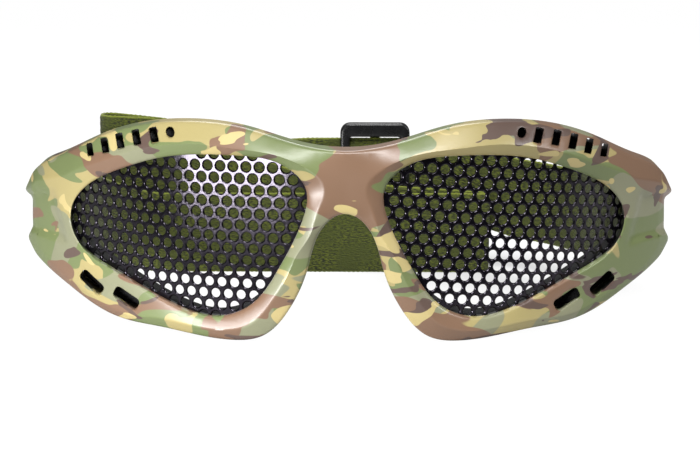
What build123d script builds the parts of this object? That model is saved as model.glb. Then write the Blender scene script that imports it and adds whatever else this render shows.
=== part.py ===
from build123d import *
import os
from math import asin, atan, ceil, cos, degrees, pi, radians, sin, sqrt, tan

# Mesh safety goggles: a moulded wrap-round frame with two perforated steel lenses
# held from behind by screwed rings, foam face pads, and an elastic webbing strap
# with a slider on it.  Millimetres.  +X is the wearer's left, the front faces -Y
# and +Z is up.  The origin is under the middle of the whole object, on the table
# that it stands on.

# Frame
frame_width = 186.0
frame_height = 58.0
overall_depth = 107.0
wrap_radius = 110.0
rim_depth = 10.0
frame_wall = 2.6
temple_reach = 64.0
brow_slope_drop = 4.2
brow_slope_depth = 4.0
chin_slope_rise = 2.4
chin_slope_depth = 3.2
opening_bevel = 1.0
panel_recess = 1.0
overrun = 5.0

# Mesh lenses and the rings that hold them
lens_thickness = 0.8
lens_margin = 1.2
mesh_pitch = 4.7
mesh_hole = 3.7
mesh_rim = 0.2
wrap_facets = 60
left_row_tilt = 6.5
right_row_tilt = 0.0
seat_gap = 0.05
fit_gap = 0.3
ring_thickness = 2.0
ring_inset = 0.5
ring_margin = 2.2

# Screws that hold the rings
ear_diameter = 4.4
boss_diameter = 3.8
screw_diameter = 1.6
screw_length = 4.4
screw_clearance = 0.1
screw_head_diameter = 3.2
screw_head_height = 1.1
driver_slot_width = 0.5
driver_slot_depth = 0.5

# How finely an offset outline is drawn again, as a spline or in straight runs
curve_steps = 8
straight_run = 5.0

# Vents
brow_vent_width = 2.2
brow_vent_height = 3.9
brow_vent_lean = 17.0
brow_vent_reach = 6.4
end_slot_width = 2.0
end_slot_height = 3.3
end_vent_diameter = 2.7
cheek_vent_width = 3.5
cheek_vent_length = 7.6
cheek_vent_corner = 1.1

# Foam pads
foam_thickness = 8.5
foam_crown = 0.8
foam_gap = 0.3
foam_lens_gap = 0.6

# Strap, the bars that it loops round, and the slider on it
strap_width = 25.0
strap_thickness = 1.3
strap_bar_diameter = 3.5
strap_bar_setback = 4.6
strap_bar_gap = 0.3
strap_layer_gap = 0.6
strap_fold_gap = 0.9
strap_tail = 12.0
strap_neck = 7.0
strap_bend_step = 20.0
strap_bend_limit = 60.0
strap_arc_share = 0.48
slider_length = 21.5
slider_bar_width = 3.0
slider_rail = 4.2
slider_slack = 0.35
slider_gap = 0.3
slider_bar_thickness = 1.4
slider_corner = 3.0
slider_edge = 0.4

# Outlines in the front view, as shares of half the frame's width and of its height
brow_line_shares = [(0, 0.890), (0.13, 0.914), (0.285, 0.981), (0.435, 1.000), (0.575, 0.973),
                    (0.72, 0.893), (0.86, 0.772), (0.968, 0.652)]
temple_tip_shares = [(1.0, 0.553), (0.967, 0.541), (0.967, 0.390), (0.987, 0.335), (0.957, 0.268)]
chin_line_shares = [(0.957, 0.268), (0.83, 0.156), (0.70, 0.061), (0.65, 0.043), (0.54, 0.030),
                    (0.317, -0.003), (0.24, 0.025), (0.16, 0.156), (0.108, 0.340),
                    (0.069, 0.528), (0.0, 0.608)]
opening_shares = [(0.820, 0.524), (0.789, 0.636), (0.661, 0.769), (0.518, 0.843), (0.315, 0.864),
                  (0.174, 0.821), (0.110, 0.712), (0.118, 0.586), (0.189, 0.347), (0.266, 0.179),
                  (0.366, 0.112), (0.484, 0.144), (0.688, 0.280), (0.789, 0.372)]
brow_side_share = 0.8
chin_side_share = 0.15

# Places in the front view, as the same shares
brow_vent_shares = [(0.703, 0.858), (0.654, 0.888), (0.602, 0.912), (0.548, 0.930)]
end_slot_share = (0.753, 0.828)
end_vent_share = (0.499, 0.948)
outer_cheek_vent_share = (0.753, 0.200)
outer_cheek_vent_turn = 35.0
inner_cheek_vent_share = (0.642, 0.152)
inner_cheek_vent_turn = 27.0
screw_shares = [(0.068, 0.724), (0.252, 0.131), (0.548, 0.119), (0.808, 0.687)]
panel_shares = [(0.875, 0.590), (1.05, 0.539), (1.05, 0.378), (0.850, 0.378)]
brow_foam_share = 0.733
nose_foam_share = 0.20
cheek_foam_share = 0.80
cheek_foam_top_share = 0.3357
strap_bar_share = 0.85
foam_split_share = 0.006

# The strap's way from the right temple's bar to the left one's: x as a share of half
# the frame's width, y as a share of the way from the bars to the strap's far side,
# and the height of its lower edge as a share of the frame's height
strap_bar_rise_share = 0.262
strap_route_shares = [(-0.790, 0.580, 0.110), (-0.650, 0.809, 0.0), (0.457, 0.809, 0.0),
                      (0.457, None, 0.0), (-0.100, 0.848, 0.060), (-0.640, 0.855, 0.395),
                      (-0.826, 0.858, 0.405), (-0.826, 1.0, 0.405), (-0.602, 1.0, 0.369),
                      (-0.330, 0.972, 0.250), (-0.150, 0.944, 0.275), (0.330, 0.944, 0.275),
                      (0.545, 0.861, 0.183), (0.735, 0.608, 0.166)]
slider_share = 0.083
slider_run_point = 10

# Values that follow from the sizes above
half_width = frame_width / 2
front_y = -overall_depth / 2
axis_y = front_y + wrap_radius
lens_front_radius = wrap_radius - frame_wall - seat_gap
lens_back_radius = (lens_front_radius - lens_thickness) * cos(pi / wrap_facets)
ring_front_radius = lens_back_radius - seat_gap
ring_back_radius = ring_front_radius - ring_thickness
foam_front_radius = ring_back_radius - screw_head_height - foam_gap
strap_bar_radius = wrap_radius - frame_wall - strap_bar_setback
layer_pitch = strap_thickness + strap_layer_gap
fold_pitch = strap_thickness + strap_fold_gap
loop_radius = strap_bar_diameter / 2 + strap_bar_gap + strap_thickness / 2


def placed(share):
    """A point of the front view from its shares of the frame's size."""
    return (share[0] * half_width, share[1] * frame_height)


def depth_at(x, radius):
    """The y of a surface of this radius round the wrap axis, at x."""
    return axis_y - sqrt(radius ** 2 - x ** 2)


strap_bar_x = strap_bar_share * half_width
strap_bar_y = depth_at(strap_bar_x, strap_bar_radius)
strap_far_y = front_y + overall_depth - strap_thickness / 2


# Forms that several pieces share

def drawn_again(sketch):
    """A sketch's outline, with each of its offset curves drawn again as a spline."""
    edges = []
    for edge in sketch.face().outer_wire().edges():
        if edge.geom_type == GeomType.OFFSET:
            points = [edge @ (k / curve_steps) for k in range(curve_steps + 1)]
            edge = Edge.make_spline(points, tangents=[edge % 0, edge % 1])
        edges.append(edge)
    return Face(Wire(edges))


def drawn_straight(face):
    """A face's outline in short straight runs, for the rings behind the lenses."""
    outline = face.outer_wire()
    runs = ceil(outline.length / straight_run)
    turned = Face(Wire.make_polygon([outline @ (k / runs) for k in range(runs)], close=True))
    return turned if turned.normal_at().Y < 0 else -turned


def front_outline(inset):
    """The frame's outline in the front view, drawn in by inset."""
    with BuildSketch(Plane.XZ.offset(-front_y)) as outline:
        with BuildLine():
            top = Spline(*[placed(p) for p in brow_line_shares], tangents=[(1, 0), (0.55, -0.83)])
            Polyline(top @ 1, *[placed(p) for p in temple_tip_shares])
            bottom = Spline(*[placed(p) for p in chin_line_shares],
                            tangents=[(-0.8, -0.6), (-1, 0)])
            Line(bottom @ 1, top @ 0)
        make_face()
        mirror(about=Plane.YZ)
        if inset:
            offset(amount=-inset, kind=Kind.INTERSECTION)
    return drawn_again(outline.sketch)


def lens_opening(growth):
    """The left lens opening in the front view, grown by growth."""
    with BuildSketch(Plane.XZ.offset(-front_y)) as opening:
        with BuildLine():
            Spline(*[placed(p) for p in opening_shares], periodic=True)
        make_face()
        if growth:
            offset(amount=growth)
    return drawn_again(opening.sketch)


def wrap_ring(outer_radius, inner_radius):
    """An upright ring, or a disc, round the axis that the whole front wraps about."""
    with BuildPart() as ring:
        with BuildSketch():
            with Locations((0, axis_y)):
                Circle(outer_radius)
                if inner_radius:
                    Circle(inner_radius, mode=Mode.SUBTRACT)
        extrude(amount=frame_height + overrun)
    return ring.part


def bowl(inset, front_radius, slope_depth, slope_drop, chin_depth, chin_rise):
    """The wrapped front as a solid, drawn in by inset, with its brow and chin edges sloped."""
    with BuildPart() as body:
        extrude(front_outline(inset), amount=temple_reach, dir=(0, 1, 0))
        add(wrap_ring(front_radius, 0), mode=Mode.INTERSECT)
        front = body.faces().filter_by(GeomType.CYLINDER).sort_by(SortBy.AREA)[-1]
        edges = front.outer_wire().edges()
        brow = edges.filter_by(lambda e: (e @ 0.5).Z > brow_side_share * frame_height)
        chamfer(brow, length=slope_depth, length2=slope_drop)
        if chin_depth:
            chin = edges.filter_by(lambda e: (e @ 0.5).Z < chin_side_share * frame_height
                                   and abs((e @ 0.5).X) > ear_diameter
                                   and e.length > frame_height / 2)
            chamfer(chin, length=chin_depth, length2=chin_rise)
    return body.part


def pocket(extra_inset):
    """The hollow behind the frame's front wall, drawn in further by extra_inset."""
    lean = atan(brow_slope_depth / brow_slope_drop)
    wall_rise = frame_wall * (1 / cos(lean) - 1) / tan(lean)
    drop = brow_slope_drop - frame_wall + wall_rise
    inset = frame_wall + extra_inset
    return bowl(inset, wrap_radius - inset, drop * tan(lean), drop, 0, 0)


def both_sides(shape):
    """The left-hand form and its mirror image."""
    return [shape, mirror(shape, about=Plane.YZ)]


def screw_plane(share):
    """A plane on the back of the left ring, facing in towards the wrap axis."""
    x, z = placed(share)
    return Plane(origin=(x, depth_at(x, ring_back_radius), z), x_dir=(0, 0, 1),
                 z_dir=(-x, sqrt(ring_back_radius ** 2 - x ** 2), 0))


def studs(diameter, near, far):
    """A round solid at each left screw, from near to far behind the ring's back."""
    with BuildPart() as pins:
        for share in screw_shares:
            with BuildSketch(screw_plane(share).offset(near)):
                Circle(diameter / 2)
            extrude(amount=far - near)
    return pins.part


# Cuts in the frame

def brow_vents():
    """The leaning slots in the left brow slope, with a round end and a short end slot."""
    with BuildPart() as vents:
        with BuildSketch(Plane.XZ.offset(-front_y)):
            with Locations(*[placed(p) for p in brow_vent_shares]):
                Rectangle(brow_vent_width, brow_vent_height, rotation=-brow_vent_lean)
            with Locations(placed(end_slot_share)):
                Rectangle(end_slot_width, end_slot_height, rotation=-brow_vent_lean)
            with Locations(placed(end_vent_share)):
                Circle(end_vent_diameter / 2)
        extrude(amount=-temple_reach)
        add(wrap_ring(wrap_radius + overrun, wrap_radius - brow_vent_reach), mode=Mode.INTERSECT)
    return vents.part


def cheek_vents():
    """The two long slots in the left lower band."""
    with BuildPart() as vents:
        with BuildSketch(Plane.XZ.offset(-front_y)):
            with Locations(placed(outer_cheek_vent_share)):
                RectangleRounded(cheek_vent_length, cheek_vent_width, cheek_vent_corner,
                                 rotation=outer_cheek_vent_turn)
            with Locations(placed(inner_cheek_vent_share)):
                RectangleRounded(cheek_vent_length, cheek_vent_width, cheek_vent_corner,
                                 rotation=inner_cheek_vent_turn)
        extrude(amount=-temple_reach)
        add(wrap_ring(wrap_radius + overrun, foam_front_radius), mode=Mode.INTERSECT)
    return vents.part


def temple_panel():
    """The shallow flat recess on the left temple."""
    with BuildPart() as panel:
        with BuildSketch(Plane.XZ.offset(-front_y)):
            Polygon(*[placed(p) for p in panel_shares], align=None)
        extrude(amount=-temple_reach)
        add(wrap_ring(wrap_radius + overrun, wrap_radius - panel_recess), mode=Mode.INTERSECT)
    return panel.part


def strap_bar():
    """The round bar from flange to flange inside the left temple."""
    with BuildPart() as bar:
        with BuildSketch():
            with Locations((strap_bar_x, strap_bar_y)):
                Circle(strap_bar_diameter / 2)
        extrude(amount=frame_height)
        add(bowl(frame_wall / 2, wrap_radius - frame_wall / 2,
                 brow_slope_depth, brow_slope_drop, 0, 0), mode=Mode.INTERSECT)
    return bar.part


# Frame, one moulding: a front wall round the lens openings and a rim behind its edge

with BuildPart() as front_frame:
    add(bowl(0, wrap_radius, brow_slope_depth, brow_slope_drop, chin_slope_depth, chin_slope_rise))
    add(wrap_ring(wrap_radius + overrun, wrap_radius - rim_depth), mode=Mode.INTERSECT)
    add(pocket(0), mode=Mode.SUBTRACT)
    for opening in both_sides(lens_opening(0)):
        extrude(opening, amount=temple_reach, dir=(0, 1, 0), mode=Mode.SUBTRACT)
    front_face = front_frame.faces().filter_by(GeomType.CYLINDER).sort_by(SortBy.AREA)[-1]
    chamfer(front_face.inner_wires().edges(), length=opening_bevel)
    for cut in (brow_vents(), cheek_vents(), temple_panel()):
        add(both_sides(cut), mode=Mode.SUBTRACT)
    add(both_sides(strap_bar()))
    add(both_sides(studs(boss_diameter, -ring_thickness - seat_gap,
                         -ring_thickness - lens_thickness - frame_wall / 2)))
    add(both_sides(studs(screw_diameter + screw_clearance, 0, -screw_length)),
        mode=Mode.SUBTRACT)
front_frame.part.label = "front_frame"


# Mesh lenses

def faceted_ring(outer_radius, inner_radius):
    """A ring round the wrap axis in narrow flat facets, as a bent perforated sheet takes it."""
    with BuildPart() as ring:
        with BuildSketch():
            with Locations((0, axis_y)):
                RegularPolygon(outer_radius, wrap_facets)
                RegularPolygon(inner_radius, wrap_facets, mode=Mode.SUBTRACT)
        extrude(amount=frame_height + overrun)
    return ring.part


def mesh_places(tilt, radius):
    """Centres of the holes, along the wrap and up, in staggered rows turned by tilt."""
    room = lens_opening(lens_margin - mesh_rim - mesh_hole / 2)
    low, high = room.bounding_box().min, room.bounding_box().max
    middle_u = radius * asin((low.X + high.X) / 2 / radius)
    middle_z = (low.Z + high.Z) / 2
    row_pitch = mesh_pitch * sqrt(3) / 2
    rows = ceil(frame_height / row_pitch / 2) + 2
    columns = ceil(half_width / mesh_pitch / 2) + 2
    turn = radians(-tilt)
    places = []
    for row in range(-rows, rows + 1):
        for column in range(-columns, columns + 1):
            along = (column + row % 2 / 2) * mesh_pitch
            up = row * row_pitch
            u = middle_u + along * cos(turn) - up * sin(turn)
            z = middle_z + along * sin(turn) + up * cos(turn)
            if room.is_inside(Vector(radius * sin(u / radius), front_y, z)):
                places.append((u, z))
    return places


def mesh_hole_outline(place, tilt, radius):
    """One six-sided hole in the front view, narrowed as the wrap turns it away."""
    corners = []
    for k in range(6):
        angle = radians(60 * k + 30 - tilt)
        u = place[0] + mesh_hole / 2 * cos(angle)
        corners.append(Vector(radius * sin(u / radius), front_y,
                              place[1] + mesh_hole / 2 * sin(angle)))
    return Wire.make_polygon(corners, close=True)


def mesh_lens(tilt):
    """The left lens: one holed face, pushed back through the wrap, notched for the bosses."""
    radius = lens_front_radius
    holes = [mesh_hole_outline(place, tilt, radius) for place in mesh_places(tilt, radius)]
    holed = Face(lens_opening(lens_margin).outer_wire(), holes)
    with BuildPart() as lens:
        extrude(holed, amount=temple_reach, dir=(0, 1, 0))
        add(faceted_ring(radius, radius - lens_thickness), mode=Mode.INTERSECT)
        add(studs(boss_diameter + fit_gap, 0, -screw_length), mode=Mode.SUBTRACT)
    print("mesh holes", len(holes))
    return lens.part


with BuildPart() as left_mesh_lens:
    add(mesh_lens(left_row_tilt))
left_mesh_lens.part.label = "left_mesh_lens"

with BuildPart() as right_mesh_lens:
    add(mirror(mesh_lens(right_row_tilt), about=Plane.YZ))
right_mesh_lens.part.label = "right_mesh_lens"


# Rings that clamp the lenses from behind, with an ear at each screw

with BuildPart() as left_lens_ring:
    extrude(drawn_straight(lens_opening(ring_margin)), amount=temple_reach, dir=(0, 1, 0))
    extrude(drawn_straight(lens_opening(ring_inset)), amount=temple_reach, dir=(0, 1, 0), mode=Mode.SUBTRACT)
    add(wrap_ring(ring_front_radius, ring_back_radius), mode=Mode.INTERSECT)
    add(studs(ear_diameter, -seat_gap, seat_gap - ring_thickness))
    add(studs(screw_diameter + 2 * screw_clearance, overrun, -screw_length), mode=Mode.SUBTRACT)
left_lens_ring.part.label = "left_lens_ring"

with BuildPart() as right_lens_ring:
    add(mirror(left_lens_ring.part, about=Plane.YZ))
right_lens_ring.part.label = "right_lens_ring"

with BuildPart() as left_ring_screws:
    add(studs(screw_diameter, seat_gap, -screw_length))
    add(studs(screw_head_diameter, 0, screw_head_height))
    for share in screw_shares:
        with BuildSketch(screw_plane(share).offset(screw_head_height)):
            Rectangle(screw_head_diameter, driver_slot_width)
        extrude(amount=-driver_slot_depth, mode=Mode.SUBTRACT)
left_ring_screws.part.label = "left_ring_screws"

with BuildPart() as right_ring_screws:
    add(mirror(left_ring_screws.part, about=Plane.YZ))
right_ring_screws.part.label = "right_ring_screws"


# Foam pads, in the channel behind the frame's rim

def region(low_share, high_share):
    """An upright rectangle of the front view between two corners given as shares."""
    low, high = placed(low_share), placed(high_share)
    with BuildSketch(Plane.XZ.offset(-front_y)) as window:
        with Locations(((low[0] + high[0]) / 2, (low[1] + high[1]) / 2)):
            Rectangle(high[0] - low[0], high[1] - low[1])
    return window.sketch


def foam_pad(window, crown):
    """The part of the foam band in a window of the front view, with its back edge eased by crown."""
    back_radius = foam_front_radius - foam_thickness
    with BuildPart() as pad:
        extrude(front_outline(frame_wall + foam_gap), amount=temple_reach, dir=(0, 1, 0))
        for opening in both_sides(lens_opening(foam_lens_gap)):
            extrude(opening, amount=temple_reach, dir=(0, 1, 0), mode=Mode.SUBTRACT)
        extrude(window, amount=temple_reach, dir=(0, 1, 0), mode=Mode.INTERSECT)
        add(wrap_ring(foam_front_radius, back_radius), mode=Mode.INTERSECT)
        if crown:
            back = pad.faces().filter_by(GeomType.CYLINDER)
            back = back.filter_by(lambda f: abs(f.radius - back_radius) < seat_gap)
            chamfer(back.edges(), length=crown)
    return pad.part


with BuildPart() as brow_foam:
    add(foam_pad(region((-cheek_foam_share, brow_foam_share), (cheek_foam_share, 1)), foam_crown))
brow_foam.part.label = "brow_foam"

with BuildPart() as nose_foam:
    add(foam_pad(region((-nose_foam_share, cheek_foam_top_share + foam_split_share),
                        (nose_foam_share, brow_foam_share - foam_split_share)), 0))
nose_foam.part.label = "nose_foam"

with BuildPart() as left_cheek_foam:
    add(foam_pad(region((0, 0), (cheek_foam_share, cheek_foam_top_share)), foam_crown))
left_cheek_foam.part.label = "left_cheek_foam"

with BuildPart() as right_cheek_foam:
    add(mirror(left_cheek_foam.part, about=Plane.YZ))
right_cheek_foam.part.label = "right_cheek_foam"


# Strap

def strap_point(share):
    """A place of the strap's route in plan, and the height of its lower edge there."""
    x, y, z = share
    return (x * half_width, strap_bar_y + y * (strap_far_y - strap_bar_y), z * frame_height)


def loop_points(side, towards):
    """The sewn loop round one bar: tail, neck, round the bar, neck and out again."""
    bar = Vector(side * strap_bar_x, strap_bar_y)
    out = (Vector(towards[0], towards[1]) - bar).normalized()
    outer = Vector(out.Y, -out.X) * side
    rise = strap_bar_rise_share * frame_height
    shape = [(strap_tail, layer_pitch / 2), (strap_neck, layer_pitch / 2),
             (-loop_radius, loop_radius + strap_layer_gap),
             (-loop_radius, -loop_radius - strap_layer_gap),
             (strap_neck, -layer_pitch / 2), (strap_tail, -layer_pitch / 2)]
    spots = [bar + out * along + outer * across for along, across in shape]
    return [(spot.X, spot.Y, rise) for spot in spots]


def strap_points():
    """Every corner of the strap's route, from the tail at the right bar to the left one."""
    route = []
    for share in strap_route_shares:
        if share[1] is None:
            x, y, z = route[-1]
            route.append((x, y + fold_pitch, z))
        else:
            route.append(strap_point(share))
    start = loop_points(-1, route[0])
    finish = loop_points(1, route[-1])
    return start + route + finish[::-1]


def corner_radii(points):
    """A steady arc at each corner, as large as its two runs and the limit allow."""
    radii = []
    for before, here, after in zip(points, points[1:], points[2:]):
        a = Vector(before[0], before[1]) - Vector(here[0], here[1])
        b = Vector(after[0], after[1]) - Vector(here[0], here[1])
        half_turn = radians(180 - a.get_angle(b)) / 2
        room = strap_arc_share * min(a.length, b.length) / tan(half_turn)
        radii.append(min(room, strap_bend_limit))
    return radii


def strap_stations():
    """Places along the strap with its heading and lower edge, close together in its bends."""
    points = strap_points()
    radii = corner_radii(points)
    with BuildLine() as plan:
        FilletPolyline(*[(x, y) for x, y, z in points], radius=radii)
    edges = plan.wire().edges()
    knots = [(0, points[0][2])]
    stations = []
    gone = 0
    corner = 0
    for edge in edges:
        bend = edge.geom_type == GeomType.CIRCLE
        steps = 1
        if bend:
            corner += 1
            knots.append((gone + edge.length / 2, points[corner][2]))
            steps = max(2, ceil(degrees(edge.length / edge.radius) / strap_bend_step))
        for k in range(steps):
            stations.append((gone + edge.length * k / steps, edge @ (k / steps),
                             edge % (k / steps)))
        gone += edge.length
    stations.append((gone, edges[-1] @ 1, edges[-1] % 1))
    knots.append((gone, points[-1][2]))
    print("strap length", round(gone, 1), "tightest bend", round(min(radii), 2))
    return stations, knots


def height_along(distance, knots):
    """The strap's lower edge at a distance along it."""
    for (near, low), (far, high) in zip(knots, knots[1:]):
        if distance <= far:
            return low + (high - low) * (distance - near) / (far - near)
    return knots[-1][1]


with BuildPart() as elastic_strap:
    stations, knots = strap_stations()
    for distance, place, heading in stations:
        low = height_along(distance, knots)
        with BuildSketch(Plane(origin=(place.X, place.Y, low + strap_width / 2),
                               x_dir=(heading.Y, -heading.X, 0),
                               z_dir=(heading.X, heading.Y, 0))):
            Rectangle(strap_thickness, strap_width)
    loft(ruled=True)
elastic_strap.part.label = "elastic_strap"


# Slider on the strap

slider_x = slider_share * half_width
slider_run = strap_point(strap_route_shares[slider_run_point])
slider_y = slider_run[1]
slider_z = slider_run[2] + strap_width / 2
window_height = strap_width + 2 * slider_slack
slider_height = window_height + 2 * slider_rail
channel = strap_thickness + 2 * slider_gap
slider_thickness = channel + 2 * slider_bar_thickness

with BuildPart() as strap_slider:
    with BuildSketch(Plane.XZ.offset(-slider_y)):
        with Locations((slider_x, slider_z)):
            RectangleRounded(slider_length, slider_height, slider_corner)
            Rectangle(slider_length - 2 * slider_bar_width, window_height, mode=Mode.SUBTRACT)
    extrude(amount=slider_thickness / 2, both=True)
    chamfer(strap_slider.edges().filter_by(Plane.XZ).group_by(Axis.Y)[0]
            + strap_slider.edges().filter_by(Plane.XZ).group_by(Axis.Y)[-1], length=slider_edge)
    with BuildSketch(Plane.XZ.offset(channel / 2 - slider_y)):
        with Locations((slider_x, slider_z)):
            Rectangle(slider_length + overrun, window_height)
    extrude(amount=-slider_thickness - overrun, mode=Mode.SUBTRACT)
    with BuildSketch(Plane.XZ.offset(-channel / 2 - slider_y)):
        with Locations((slider_x, slider_z)):
            Rectangle(slider_bar_width, window_height)
    extrude(amount=-slider_bar_thickness)
strap_slider.part.label = "strap_slider"


# Files

os.makedirs("parts", exist_ok=True)
export_step(front_frame.part, "parts/front_frame.step")
export_step(left_mesh_lens.part, "parts/left_mesh_lens.step")
export_step(right_mesh_lens.part, "parts/right_mesh_lens.step")
export_step(left_lens_ring.part, "parts/left_lens_ring.step")
export_step(right_lens_ring.part, "parts/right_lens_ring.step")
export_step(left_ring_screws.part, "parts/left_ring_screws.step")
export_step(right_ring_screws.part, "parts/right_ring_screws.step")
export_step(brow_foam.part, "parts/brow_foam.step")
export_step(nose_foam.part, "parts/nose_foam.step")
export_step(left_cheek_foam.part, "parts/left_cheek_foam.step")
export_step(right_cheek_foam.part, "parts/right_cheek_foam.step")
export_step(elastic_strap.part, "parts/elastic_strap.step")
export_step(strap_slider.part, "parts/strap_slider.step")
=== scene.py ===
from math import ceil, cos, pi, radians, sin, sqrt, tan

import bmesh
import bpy
import numpy as np
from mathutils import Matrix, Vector
from mathutils.geometry import delaunay_2d_cdt


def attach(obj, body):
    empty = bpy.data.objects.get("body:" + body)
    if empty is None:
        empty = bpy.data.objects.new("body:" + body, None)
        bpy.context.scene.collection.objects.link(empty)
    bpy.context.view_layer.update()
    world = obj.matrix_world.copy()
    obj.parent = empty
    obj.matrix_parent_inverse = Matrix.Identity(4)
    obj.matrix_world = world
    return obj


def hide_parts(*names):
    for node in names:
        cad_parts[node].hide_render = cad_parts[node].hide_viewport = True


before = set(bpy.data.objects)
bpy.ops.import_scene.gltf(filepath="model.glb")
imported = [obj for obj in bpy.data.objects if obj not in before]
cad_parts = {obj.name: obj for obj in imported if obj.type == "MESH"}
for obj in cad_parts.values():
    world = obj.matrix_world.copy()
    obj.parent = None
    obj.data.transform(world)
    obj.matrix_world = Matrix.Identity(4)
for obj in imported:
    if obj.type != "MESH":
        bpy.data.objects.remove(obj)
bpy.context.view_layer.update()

# Millimetres, as in the part's own source, become metres where a mesh is made
MM = 0.001
BODY = "goggles"

# Frame
HALF_WIDTH = 93.0
HEIGHT = 58.0
FRONT_Y = -53.5
WRAP_RADIUS = 110.0
AXIS_Y = FRONT_Y + WRAP_RADIUS
FRAME_WALL = 2.6
RIM_DEPTH = 10.0
TEMPLE_REACH = 64.0
BACK_WALL = 1.8
EDGE_ROUND = 0.8
VENT_ROUND = 0.3
CREST_ROUND = 0.45
PANEL_RECESS = 1.4
PANEL_EDGE = 1.1
BAR_RADIUS = 1.75
BAR_INSET = 7.2
BAR_LOW = 11.5
BAR_HIGH = 43.0
bar_out_share = 0.85
lens_edge_round_share = 0.8

# Length, width and corner radius of each kind of vent, and how it is turned in degrees
BROW_VENT = (3.9, 2.2, 0.35)
END_SLOT = (3.3, 2.0, 0.35)
END_VENT = (2.7, 2.3, 1.1)
CHEEK_VENT = (7.6, 3.5, 1.1)
BROW_VENT_TURN = 73.0
CHEEK_VENT_TURNS = (35.0, 27.0)

# How finely the frame is divided: steps, rings of points along its edges, and how far the
# grid keeps off an edge, as a share of the edge's rounding, and off a line, as one of the grid
GRID = 1.25
LOOP_STEP = 0.8
SLOT_STEP = 0.5
SLOT_CORNER_POINTS = 5
OUTLINE_EASINGS = 2
BAR_SIDES = 24
edge_ring_shares = (0.08, 0.3, 0.62, 1.0)
vent_ring_shares = (0.4, 1.0)
edge_clear_share = 1.4
line_clear_share = 0.55

# Lens: each ring of a hole's rolled edge is a radius and a depth below the sheet's face, and a
# triangle nearer to a hole's middle than a share of its widest radius is cut out
LENS_SEAT_GAP = 0.05
LENS_RADIUS = WRAP_RADIUS - FRAME_WALL - LENS_SEAT_GAP
LENS_THICKNESS = 0.8
LENS_MARGIN = 2.1
MESH_PITCH = 3.6
HOLE_ROLL = [(1.61, 0.0), (1.54, 0.03), (1.49, 0.07), (1.31, 0.23), (1.26, 0.34)]
HOLE_SIDES = 18
HOLE_EDGE_GAP = 0.08
hole_cut_share = 0.972
LEFT_ROW_TILT = 6.5
RIGHT_ROW_TILT = 0.0

# Foam and slider: the voxels that each is remeshed with and how it is relaxed. The brow foam's
# faces that point up by more than a share are raised by the lift.
FOAM_VOXEL = 0.7
FOAM_RELAX_ROUNDS = 10
foam_relax_share = 0.6
FOAM_LIFT = 0.9
foam_upward_share = 0.35
SLIDER_VOXEL = 0.33
SLIDER_RELAX_ROUNDS = 7
slider_relax_share = 0.5

# Angles in degrees between faces, above which an edge is shaded sharp
FRAME_SHARP = 38
LENS_SHARP = 50
STRAP_SHARP = 60

# Outlines in the front view, as shares of half the frame's width and of its height
brow_line_shares = [(0, 0.890), (0.13, 0.914), (0.285, 0.981), (0.435, 1.000), (0.575, 0.973),
                    (0.72, 0.893), (0.86, 0.772), (0.968, 0.652)]
temple_tip_shares = [(0.968, 0.652), (1.0, 0.553), (0.967, 0.541), (0.967, 0.390), (0.987, 0.335),
                     (0.957, 0.268)]
chin_line_shares = [(0.957, 0.268), (0.83, 0.156), (0.70, 0.061), (0.65, 0.043), (0.54, 0.030),
                    (0.317, 0.001), (0.24, 0.025), (0.16, 0.156), (0.108, 0.340),
                    (0.069, 0.528), (0.0, 0.608)]
opening_shares = [(0.820, 0.520), (0.787, 0.622), (0.661, 0.753), (0.518, 0.833), (0.315, 0.860),
                  (0.174, 0.821), (0.110, 0.712), (0.118, 0.586), (0.189, 0.347), (0.266, 0.179),
                  (0.366, 0.112), (0.484, 0.144), (0.688, 0.280), (0.789, 0.372)]
brow_vent_shares = [(0.703, 0.858), (0.654, 0.888), (0.602, 0.912), (0.548, 0.930)]
end_slot_shares = [(0.753, 0.828)]
end_vent_shares = [(0.499, 0.948)]
cheek_vent_shares = [(0.753, 0.200), (0.642, 0.152)]
panel_shares = [(0.875, 0.610), (1.06, 0.554), (1.06, 0.378), (0.830, 0.366)]

# The ridge round each lens: its place, and how deep the frame falls away from it to the
# outside and to the lens, as shares of the slope and cove depths
SLOPE_DEPTH = 4.5
COVE_DEPTH = 1.7
SLOPE_CURVE = 1.12
COVE_CURVE = 1.2
ridge_shares = [(0.962, 0.602, 0.6, 0.2), (0.856, 0.683, 0.9, 0.5), (0.805, 0.726, 1.0, 0.8),
                (0.711, 0.791, 1.0, 1.0), (0.596, 0.864, 1.0, 1.0), (0.527, 0.891, 1.0, 1.0),
                (0.424, 0.908, 1.0, 0.9), (0.309, 0.896, 1.0, 0.8), (0.220, 0.881, 0.9, 0.9),
                (0.145, 0.846, 0.75, 1.0), (0.0925, 0.799, 0.5, 1.0), (0.066, 0.758, 0.25, 1.0),
                (0.058, 0.707, 0.15, 1.0), (0.072, 0.641, 0.2, 1.0), (0.100, 0.509, 0.4, 1.0),
                (0.137, 0.417, 0.45, 0.9), (0.163, 0.322, 0.5, 0.9), (0.206, 0.209, 0.5, 0.8),
                (0.262, 0.100, 0.5, 0.7), (0.370, 0.053, 0.5, 0.5), (0.537, 0.079, 0.5, 0.4),
                (0.659, 0.083, 0.4, 0.3), (0.760, 0.142, 0.2, 0.2), (0.850, 0.209, 0.15, 0.15),
                (0.925, 0.290, 0.15, 0.15), (0.948, 0.346, 0.15, 0.1), (0.940, 0.458, 0.1, 0.1)]

# Headings in the front view where the outline's curves meet the temple's tip
TIP_HEADING = (0.55, -0.83)
CHIN_HEADING = (-0.8, -0.6)

# Points are compared with a loop this many at a time, and a loop that is drawn in keeps the
# points that stay this share of the depth away from it
CHUNK = 400
kept_depth_share = 0.985

# Points nearer than this are one, in millimetres in a front view and in metres in a mesh, and
# the smallest number keeps a share of nothing from dividing by zero
MERGE_GAP = 1e-5
WELD_GAP = 1e-7
TINY = 1e-6


# Small helpers

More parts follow.
